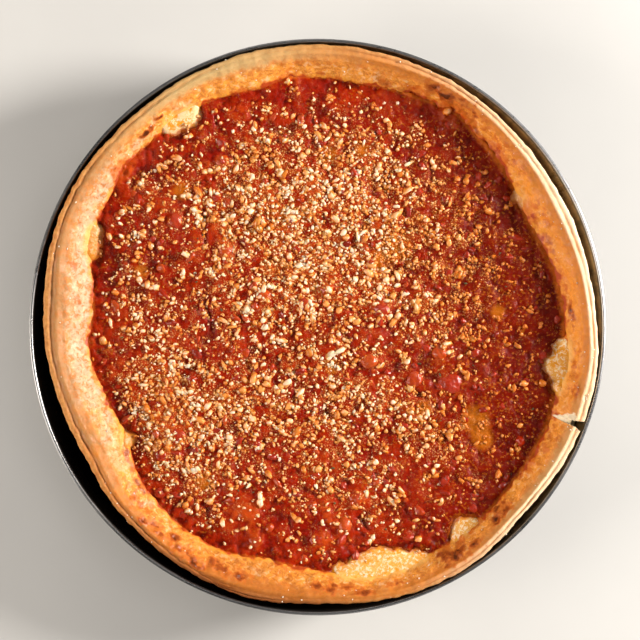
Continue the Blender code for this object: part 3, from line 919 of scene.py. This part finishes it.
def crust_masks(angles, amounts, radius, height):
    """Where the crust is browned, grooved, stained by sauce, fair or pale, and where light and shade are
    painted on it: shade in the groove, on the near side and on the right slope, cream on the lit left, and a
    highlight on the right of the rim. share is the way in from its edge to the foot of its slope."""
    angle = angles[:, None]
    edge, foot = crust_edge.at(angle), slope_foot.at(angle)
    share = np.clip((edge - radius) / (edge - foot), 0, 1.2)
    x, y = turned(radius, angles)
    patchy = 0.5 + 0.5 * rough_noise(in_three(x, y, height), 5 * MM, 3, 40)
    toast = 0.10 * patchy
    for middle, at, wide, deep, strength in BROWN_SPOTS:
        spot = np.exp(-((angle_from(middle, angle) / wide) ** 2) - ((share - at) / deep) ** 2)
        toast = np.maximum(toast, strength * spot * (0.52 + 0.75 * smoothstep(0.30, 0.70, patchy)))
    on_rim = amounts > 8
    right = arc_window(angle, *RIGHT_SIDE)
    # This mask darkens the groove and the flaky gaps in colour: painted shade in the crease.
    groove = np.exp(-(((share - 0.165) / 0.030) ** 2)) * (1 - 0.7 * merged_ridges(angle))
    groove = (groove + 0.9 * flaky_gap(angles, share)) * on_rim
    groove *= smoothstep(-0.9, 0.5, ring_noise(angles, 16 * MM, 26))[:, None]
    soaked = (1.8 + 2.6 * right) * MM
    above = height - sauce_top(x, y)
    stain = smoothstep(soaked, -0.3 * MM, above + soaked * 1.3 * (patchy - 0.5)) * on_rim
    for middle, wide, climb in SAUCE_SMEARS:
        reach = arc_window(angle, middle, wide) * smoothstep(0.42, 0.85, share)
        stain = np.maximum(stain, reach * (0.35 + 0.7 * patchy) * min(climb, 1.4) / 1.4)
    return {
        "share": share, "toast": toast, "groove": groove, "stain": stain * (share > 0.3),
        # painted light on the right: warm painted shade on the slope, lighter colour in the groove
        "right_painted_light": right,
        # random tone plus painted light: cream on the lit left, orange elsewhere, deepest on the right
        "bake_and_painted_light": 1 - arc_window(angle, 172, 68) + 0.4 * arc_window(angle, 20, 60),
        # own paler tone at the top; at the lower right, part of the rim's painted highlight
        "fair": np.maximum(0.95 * arc_window(angle, 113, 40), 0.6 * arc_window(angle, 328, 28)),
        # painted shade on the near side of the rim
        "front_painted_shade": arc_window(angle, 252, 50),
        # painted highlight on the rim's outer part, on the right
        "pale": np.maximum(right, 0.85 * arc_window(angle, 326, 42)) * smoothstep(0.34, 0.26, share),
        "melted": smoothstep(1 * MM, 4 * MM, patch_depth(angle)),
    }


def crust_relief(angles, radius, height, masks):
    """Dents, ripples, blisters and flaky gaps, as a distance out from the surface."""
    x, y = turned(radius, angles)
    points, share = in_three(x, y, height), masks["share"]
    on_top = smoothstep(40 * MM, 46 * MM, height + 12 * MM * (share > 0.3))
    slope = smoothstep(0.34, 0.50, share)
    across = in_three(x, y) * (1 - 0.72 * radius[..., None] / RIM_RADIUS)
    relief = (0.32 + 0.35 * slope) * MM * smooth_noise(points, 17 * MM, 50)
    relief += (0.36 + 0.18 * slope) * MM * smooth_noise(points, 6.0 * MM, 51)
    relief += 0.18 * MM * rough_noise(points, 2.6 * MM, 2, 52)
    relief += (0.18 + 0.20 * slope) * MM * smooth_noise(across, 1.5 * MM, 56)
    blister = 0.5 * smoothstep(0.55, 1.0, pebbles(x, y, 9 * MM, 53))
    blister += 0.5 * smoothstep(0.6, 1.0, pebbles(x, y, 4.5 * MM, 54))
    relief += 0.45 * MM * blister * slope
    relief += 1.1 * MM * np.clip(masks["toast"], 0, 1) * (pebbles(x, y, 2.8 * MM, 55) - 0.45)
    relief -= 1.3 * MM * np.clip(flaky_gap(angles, share), 0, 1)
    return relief * on_top


def move_out(radius, height, distance):
    """Moves a profile's points out along its own normal."""
    along_r, along_z = np.gradient(radius, axis=1), np.gradient(height, axis=1)
    length = np.hypot(along_r, along_z) + 1e-9
    return radius + distance * along_z / length, height - distance * along_r / length


def make_crust():
    """One dough: the rim with its two ridges, the slope down to the sauce, and the underside."""
    angles, amounts = crust_columns(), crust_rows()
    profile = curve_through(crust_stations(angles), amounts)
    radius, height = profile[..., 0], profile[..., 1]
    masks = crust_masks(angles, amounts, radius, height)
    radius, height = move_out(radius, height, crust_relief(angles, radius, height, masks))
    masks["torn"] = np.maximum(open_split(angles, radius, height), torn_side(angles, radius))
    radius = np.minimum(radius, WALL_RADIUS - TAPER * np.clip((WALL_TOP - height) / WALL_HEIGHT, 0, 1))
    height = np.minimum(height, cad_box[1][2] - 0.05 * MM)
    crust = turned_object("baked_crust", radius, height, angles, crust_paint(), masks)
    finish_piece(crust, "baked_dough", "crust")
    return crust


# ---- cheese


def make_cheese():
    """The melted layer: flat under the sauce, raised and bubbly where it shows at the crust."""
    angles = np.arange(CHEESE_COLUMNS) * 360 / CHEESE_COLUMNS
    foot, shown = slope_foot.at(angles)[:, None], patch_depth(angles)[:, None]
    inner, outer = foot - shown - 7 * MM, foot + 3.0 * MM
    ledge_radius = outer + (inner - outer) * np.linspace(0, 1, LEDGE_STEPS)
    x, y = turned(ledge_radius, angles)
    bubbles = pebbles(x, y, 5 * MM, 60) * 0.55 + pebbles(x, y, 2.6 * MM, 61) * 0.25
    bubbles += 0.35 * smooth_noise(in_three(x, y), 7 * MM, 62)
    raised = smoothstep(0.4 * MM, 2.5 * MM, shown)
    into = smoothstep(foot - shown - 1 * MM, foot - shown + 3 * MM, ledge_radius)
    climb = 2.2 * MM * smoothstep(foot - shown, foot + 2.5 * MM, ledge_radius)
    ledge_height = LEDGE_HEIGHT + raised * (1.2 * MM + 1.3 * MM * into + 0.45 * MM * bubbles + climb)
    core = np.full(foot.shape, CORE_RADIUS)
    under = [(core, 8), (foot - 9 * MM, 8), (foot - 5 * MM, 12), (foot - 1 * MM, 30)]  # radius and height
    radius = np.hstack([*(out for out, _ in under), ledge_radius, core])
    under_heights = [np.full(foot.shape, height * MM) for _, height in under]
    height = np.hstack([*under_heights, ledge_height, np.full(foot.shape, 30.5 * MM)])
    masks = {
        "stain": smoothstep(1.5 * MM, 0.1 * MM, height - sauce_top(*turned(radius, angles))),
        "amber": np.sqrt(sum(arc_window(angles, *patch) for patch in OILY_PATCHES))[:, None],
        "cream": np.sqrt(arc_window(angles, *CREAM_PATCH))[:, None],
    }
    cheese = turned_object("melted_cheese", radius, height, angles, cheese_paint(), masks)
    finish_piece(cheese, "melted_cheese", "cheese")
    return cheese


# ---- sauce


def hill(x, y, middle_x, middle_y, size):
    """1 at a middle, falling to 0 all round it. The middle and the size are in millimetres."""
    return np.exp(-((x - middle_x * MM) ** 2 + (y - middle_y * MM) ** 2) / (size * MM) ** 2)


def painted_shadow_side(x, y):
    """Painted shadow: the sauce is darker towards one side of the pan, where the crust's shadow falls."""
    return smoothstep(15 * MM, 105 * MM, x * math.cos(DARK_SIDE) + y * math.sin(DARK_SIDE))


def thin_sauce_and_painted_light(angle, to_limit, to_edge):
    """Where the sauce lies shallow: near its limit under the crust, and at its open edge over cheese. Near
    the limit the band is wider on the right, painted light where the crust's shadow falls.
    """
    right = arc_window(angle, 5, 80)
    # The band is wider on the right: painted light where the crust's shadow falls.
    thin_and_painted_light = smoothstep((4.4 + 3.2 * right) * MM, (0.8 + 1.6 * right) * MM, to_limit)
    open_edge = smoothstep(0.6 * MM, 2.0 * MM, patch_depth(angle))
    return np.maximum(thin_and_painted_light, 0.55 * open_edge * smoothstep(2.4 * MM, 0, to_edge))


def make_sauce():
    """A square grid cut to the outline, its edge hidden under the crust, closed by a skirt and a base."""
    line = np.arange(-SAUCE_REACH, SAUCE_REACH + SAUCE_STEP, SAUCE_STEP)
    x, y = np.meshgrid(line, line, indexing="ij")
    angle, radius = polar(x, y)
    limit = slope_foot.at(angle) + 2.6 * MM + 2.2 * MM * sum(arc_window(angle, *arc) for arc in DEEP_SMEARS)
    kept = radius < limit
    number = np.full(x.shape, -1)
    number[kept] = np.arange(kept.sum())
    corners = [number[:-1, :-1], number[1:, :-1], number[1:, 1:], number[:-1, 1:]]
    whole = np.logical_and.reduce([corner >= 0 for corner in corners])
    faces = np.stack([corner[whole] for corner in corners], axis=-1)
    x, y, angle, radius, limit = (values[kept] for values in (x, y, angle, radius, limit))
    top = sauce_top(x, y)
    numbers = {
        "raised": 0.42 + (top - swell_height(x, y)) / (2.6 * MM),
        "oil": sum(hill(x, y, *pool) for pool in OIL_POOLS),
        "dusted": cheese_cover(x, y),
        # painted shadow of the crust
        "baked": painted_shadow_side(x, y),
        # shallow sauce, widened on the right as painted light
        "thin_and_painted_light": thin_sauce_and_painted_light(angle, limit - radius, sauce_edge.at(angle) - radius),
    }
    sauce = mesh_object("cooked_sauce", in_three(x, y, top), faces, sauce_paint(), numbers)
    close_below(sauce, SAUCE_BASE)
    finish_piece(sauce, "tomato_sauce", "sauce")
    return sauce


def close_below(piece, floor):
    """Closes an open sheet into a solid: its edge goes down to a flat base."""
    shape = bmesh.new()
    shape.from_mesh(piece.data)
    loose = [point for point in shape.verts if not point.link_faces]
    bmesh.ops.delete(shape, geom=loose, context="VERTS")
    rim = [edge for edge in shape.edges if edge.is_boundary]
    skirt = bmesh.ops.extrude_edge_only(shape, edges=rim)["geom"]
    for item in skirt:
        if isinstance(item, bmesh.types.BMVert):
            item.co.z = floor
    base = [item for item in skirt if isinstance(item, bmesh.types.BMEdge)]
    bmesh.ops.contextual_create(shape, geom=base)
    bmesh.ops.recalc_face_normals(shape, faces=shape.faces)
    shape.to_mesh(piece.data)
    shape.free()


# ---- tomato


def ball(levels):
    """The points and faces of a ball of radius 1."""
    shape = bmesh.new()
    bmesh.ops.create_icosphere(shape, subdivisions=levels, radius=1.0)
    points = np.array([point.co[:] for point in shape.verts])
    faces = np.array([[point.index for point in face.verts] for face in shape.faces])
    shape.free()
    return points, faces


def make_lumps(paint):
    """Each lump keeps its solid's place and size, with soft folds and dents, and sinks a little deeper."""
    ball_points, faces = ball(4)
    for count, (node, middle, half) in enumerate(LUMPS):
        folds = 0.14 * smooth_noise(ball_points, 0.9, 70 + count)
        folds += 0.10 * rough_noise(ball_points, 0.4, 2, 90 + count)
        points = ball_points * (1 + folds[:, None]) * np.array(half) + np.array(middle)
        points[:, 2] -= 0.9 * MM
        tone = np.full(len(points), 0.25 + 0.5 * ((count * 37) % 10) / 10)
        piece = mesh_object(f"tomato_lump_{count + 1:02d}", points, faces, paint, {"tone": tone})
        finish_piece(piece, "cooked_tomato", node)


# ---- scattered things


def turned_at_random(random, count):
    """Rotation matrices, evenly spread."""
    four = random.normal(size=(count, 4))
    w, x, y, z = (four / np.linalg.norm(four, axis=1, keepdims=True)).T
    return np.stack([
        1 - 2 * (y * y + z * z), 2 * (x * y - z * w), 2 * (x * z + y * w),
        2 * (x * y + z * w), 1 - 2 * (x * x + z * z), 2 * (y * z - x * w),
        2 * (x * z - y * w), 2 * (y * z + x * w), 1 - 2 * (x * x + y * y),
    ], axis=-1).reshape(-1, 3, 3)


def broken_grain(random, ball_points):
    """How far out a grain reaches that is broken off along a few flat faces."""
    cuts = random.normal(size=(GRAIN_CUTS, 3))
    cuts /= np.linalg.norm(cuts, axis=1, keepdims=True)
    facing = np.maximum(ball_points @ cuts.T, 0.01)
    return np.minimum(1.25, (random.uniform(0.55, 0.95, GRAIN_CUTS) / facing).min(axis=1))


def joined_grains(name, places, sizes, tones, random, paint, levels=2, dents=0.45, flat=1.0, broken=True,
                  soaked=0.0):
    """One mesh of many irregular grains. sizes are their half lengths (count x 3). soaked is how much a
    grain's tone grows from its top to its underside: sauce soaking in, and painted shade on the lower sides."""
    ball_points, ball_faces = ball(levels)
    turns = turned_at_random(random, len(places))
    shapes = []
    for kind in range(GRAIN_KINDS):
        reach = 0.45 + 0.55 * broken_grain(random, ball_points) if broken else np.ones(len(ball_points))
        reach += dents * smooth_noise(ball_points, 0.7, 100 + kind)
        shapes.append(ball_points * reach[:, None])
    shapes = np.array(shapes)[random.integers(0, GRAIN_KINDS, len(places))]
    points = np.einsum("nij,nkj->nki", turns, shapes * sizes[:, None, :])
    points[..., 2] *= flat
    # The underside's tone: sauce soaking in, and painted shade on the grains' lower sides.
    low = smoothstep(0.95, 0.05, points[..., 2] / points[..., 2].max(axis=1, keepdims=True))
    tone = tones[:, None] + soaked * low
    points += places[:, None, :]
    faces = ball_faces[None] + (np.arange(len(places)) * len(ball_points))[:, None, None]
    return mesh_object(name, points.reshape(-1, 3), faces.reshape(-1, 3), paint, {"tone": tone})


def half_lengths(long, wide, high):
    return np.stack([long, wide, high], axis=-1) / 2


def cheese_cover(x, y):
    """How thickly grated cheese lies, from 0 to about 1."""
    cover = 0.10 + sum(0.62 * thick * hill(x, y, *place) for *place, thick in THICK_CHEESE)
    points = in_three(x, y)
    clumps = smooth_noise(points, 9 * MM, 80) + 0.8 * smooth_noise(points, 3.5 * MM, 81)
    angle, radius = polar(x, y)
    rim = smoothstep(0, 9 * MM, sauce_edge.at(angle) - radius)
    return cover * np.clip(0.9 + 0.9 * clumps, 0, 2) * (0.25 + 0.75 * rim)


class Ground:
    """What scattered things lie on: the highest of some pieces at a place."""

    def __init__(self, *pieces):
        graph = bpy.context.evaluated_depsgraph_get()
        self.trees = [BVHTree.FromObject(piece, graph) for piece in pieces]

    def height(self, x, y):
        down, above = Vector((0, 0, -1)), 100 * MM
        found = []
        for place in zip(x, y):
            hits = [tree.ray_cast(Vector((*place, above)), down)[0] for tree in self.trees]
            found.append(max(hit.z for hit in hits if hit))
        return np.array(found)


def scatter_over_sauce(random, wanted, cover=None, past=-0.8 * MM):
    """Random places on the sauce, kept more often where cover is high, and up to past beyond its edge."""
    found = []
    while sum(len(part) for part in found) < wanted:
        spot = random.uniform(-135 * MM, 135 * MM, (wanted * 2, 2))
        x, y = spot.T
        angle, radius = polar(x, y)
        beyond = past + (0.6 * patch_depth(angle) if past > 0 else 0)
        chance = cover(x, y) if cover else 1.0
        found.append(spot[(radius < sauce_edge.at(angle) + beyond) & (random.random(len(spot)) < chance)])
    return np.concatenate(found)[:wanted].T


def gather_in_clumps(random, x, y, size, share):
    """Moves a share of the grains up against another grain."""
    moved = np.nonzero(random.random(len(x)) < share)[0]
    beside = random.integers(0, len(x), len(moved))
    turn = random.uniform(0, 2 * math.pi, len(moved))
    reach = 0.42 * (size[moved] + size[beside])
    x[moved], y[moved] = x[beside] + reach * np.cos(turn), y[beside] + reach * np.sin(turn)
    return x, y


def make_grated(name, count, small, large, levels, sink, seed, paint, ground):
    """Grated cheese of one size, lying on the ground, darker towards the right as painted shade where the
    crust's shadow falls.
    """
    random = np.random.default_rng(seed)
    x, y = scatter_over_sauce(random, count, cheese_cover, 0.4 * MM)
    size = small + (large - small) * random.random(count) ** 2.2
    x, y = gather_in_clumps(random, x, y, size, 0.45)
    long = 1 + 1.2 * random.random(count) ** 2
    sizes = half_lengths(size * long, size, size * random.uniform(0.6, 0.95, count))
    z = ground.height(x, y) + size * (0.5 - sink) * random.uniform(0.7, 1.2, count)
    # shade: painted shadow darkening grains towards the right, plus tone that varies at random
    shade = 0.50 * smoothstep(30 * MM, 120 * MM, x) + 0.22 * smooth_noise(in_three(x, y), 14 * MM, 82)
    tones = np.clip(random.beta(1.5, 2.6, count) + shade, 0, 1.2)
    places = in_three(x, y, z)
    grains = joined_grains(name, places, sizes, tones, random, paint, levels, flat=0.74, soaked=0.62)
    finish_piece(grains, "melted_cheese")


def make_pulp(paint):
    """Small soft pieces of tomato in the sauce."""
    random = np.random.default_rng(7)
    x, y = scatter_over_sauce(random, PULP_COUNT)
    size = random.uniform(2.6, 6.5, PULP_COUNT) * MM
    sizes = half_lengths(size * random.uniform(1.0, 1.7, PULP_COUNT), size, size * 0.7)
    places = in_three(x, y, sauce_top(x, y) - size * 0.22)
    # Pieces are darker on the painted-shadow side: painted shade.
    tones = 0.65 * random.random(PULP_COUNT) * (1 - 0.7 * painted_shadow_side(x, y))
    pulp = joined_grains("tomato_pulp", places, sizes, tones, random, paint, 3, 0.28, 0.8, False)
    finish_piece(pulp, "cooked_tomato")


def make_herbs():
    """Thin dark flecks lying on the sauce."""
    random = np.random.default_rng(8)
    x, y = scatter_over_sauce(random, HERB_COUNT)
    length = random.uniform(0.8, 2.4, HERB_COUNT) * MM
    sizes = half_lengths(length, length * 0.45, length * 0.10)
    places = in_three(x, y, sauce_top(x, y) + 0.25 * MM)
    tones = random.random(HERB_COUNT)
    herbs = joined_grains("herb_flecks", places, sizes, tones, random, herb_paint(), 2, 0.5, 0.5)
    finish_piece(herbs, "tomato_sauce")


def make_flour(crust):
    """Specks of flour and dough crumbs left on the rim."""
    random = np.random.default_rng(9)
    points = mesh_points(crust.data)
    angle, radius = polar(points[:, 0], points[:, 1])
    open_top = points[(points[:, 2] > 42 * MM) & (radius > slope_foot.at(angle) + 2 * MM)]
    places = open_top[random.integers(0, len(open_top), FLOUR_COUNT)]
    size = random.uniform(0.5, 1.3, FLOUR_COUNT) * MM
    sizes = half_lengths(size, size * 0.8, size * 0.6)
    tones = 0.5 * random.random(FLOUR_COUNT)
    flour = joined_grains("flour_specks", places, sizes, tones, random, flour_paint())
    finish_piece(flour, "baked_dough")


# ---- floor, light and camera


def make_floor():
    paint = Paint("pale_floor")
    cloud = paint.noise(120 * MM, 4, 0.6)
    colour = paint.mix(cloud, (0.60, 0.60, 0.60), (0.66, 0.66, 0.655))
    material = paint.finish(colour, paint.between(cloud, 0.3, 0.7, 0.55, 0.7))
    points = FLOOR_REACH * np.array([(-1, -1, 0), (1, -1, 0), (1, 1, 0), (-1, 1, 0)])
    mesh_object("floor", points, np.array([[0, 1, 2, 3]]), material, {})


def area_light(name, around, up, distance, width, power, colour):
    """A round lamp that shines on the pizza, placed by its angles round and up."""
    around, up = math.radians(around), math.radians(up)
    lamp = bpy.data.lights.new(name, "AREA")
    lamp.shape = "DISK"
    lamp.size, lamp.energy, lamp.color = width, power, colour
    made = bpy.data.objects.new(name, lamp)
    made.location = (
        distance * math.cos(up) * math.cos(around), distance * math.cos(up) * math.sin(around),
        distance * math.sin(up),
    )
    made.rotation_euler = (Vector(LIT_PLACE) - made.location).to_track_quat("-Z", "Y").to_euler()
    bpy.context.scene.collection.objects.link(made)


def make_light():
    """A warm key low on the right, a soft lamp low on the left and weak ones round it. Little light comes
    from above, so wet things gleam mostly on their slopes."""
    for lamp in LAMPS:
        area_light(*lamp)
    world = bpy.data.worlds.new("studio")
    world.use_nodes = True
    sky = world.node_tree.nodes["Background"].inputs
    sky["Color"].default_value = (1.0, 0.98, 0.95, 1.0)
    sky["Strength"].default_value = WORLD_LIGHT
    bpy.context.scene.world = world


def make_camera():
    """Straight above the pan, a little off its middle."""
    lens = bpy.data.cameras.new("camera")
    lens.lens = lens.sensor_width * VIEW_DISTANCE / VIEW_WIDTH
    camera = bpy.data.objects.new("camera", lens)
    camera.location = (1.3 * MM, 3.8 * MM, 50 * MM + VIEW_DISTANCE)
    bpy.context.scene.collection.objects.link(camera)
    bpy.context.scene.camera = camera
    bpy.context.scene.view_settings.view_transform = "Standard"


def main():
    make_pan()
    crust = make_crust()
    make_flour(crust)
    ground = Ground(crust, make_cheese(), make_sauce())
    tomato = tomato_paint()
    make_lumps(tomato)
    make_pulp(tomato)
    grated = grated_paint()
    for kind in GRATED_CHEESE:
        make_grated(*kind, grated, ground)
    make_herbs()
    make_floor()
    make_light()
    make_camera()


main()
